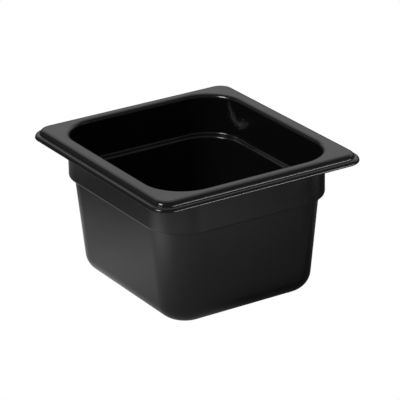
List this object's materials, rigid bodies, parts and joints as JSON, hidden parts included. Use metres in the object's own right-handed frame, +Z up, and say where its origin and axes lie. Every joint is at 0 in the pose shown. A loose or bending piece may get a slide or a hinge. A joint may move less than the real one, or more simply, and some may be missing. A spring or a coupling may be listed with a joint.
{
  "type": "deli food pan",
  "caption": "Small deep food pan moulded in glossy black plastic, with a wide flat rim, an outer lip, a stacking shoulder and tapered walls.",
  "frame": {"origin": "centre of the resting face, which is also the bottom centre of the bounding box", "axes": "+Z up out of the well, +X across the short side, +Y along the long side"},
  "size_m": [0.1634, 0.1746, 0.1028],
  "materials": {
    "pan_plastic": "moulded gloss, black"
  },
  "bodies": {
    "root": {"pan": "pan_plastic"}
  },
  "joints": []
}
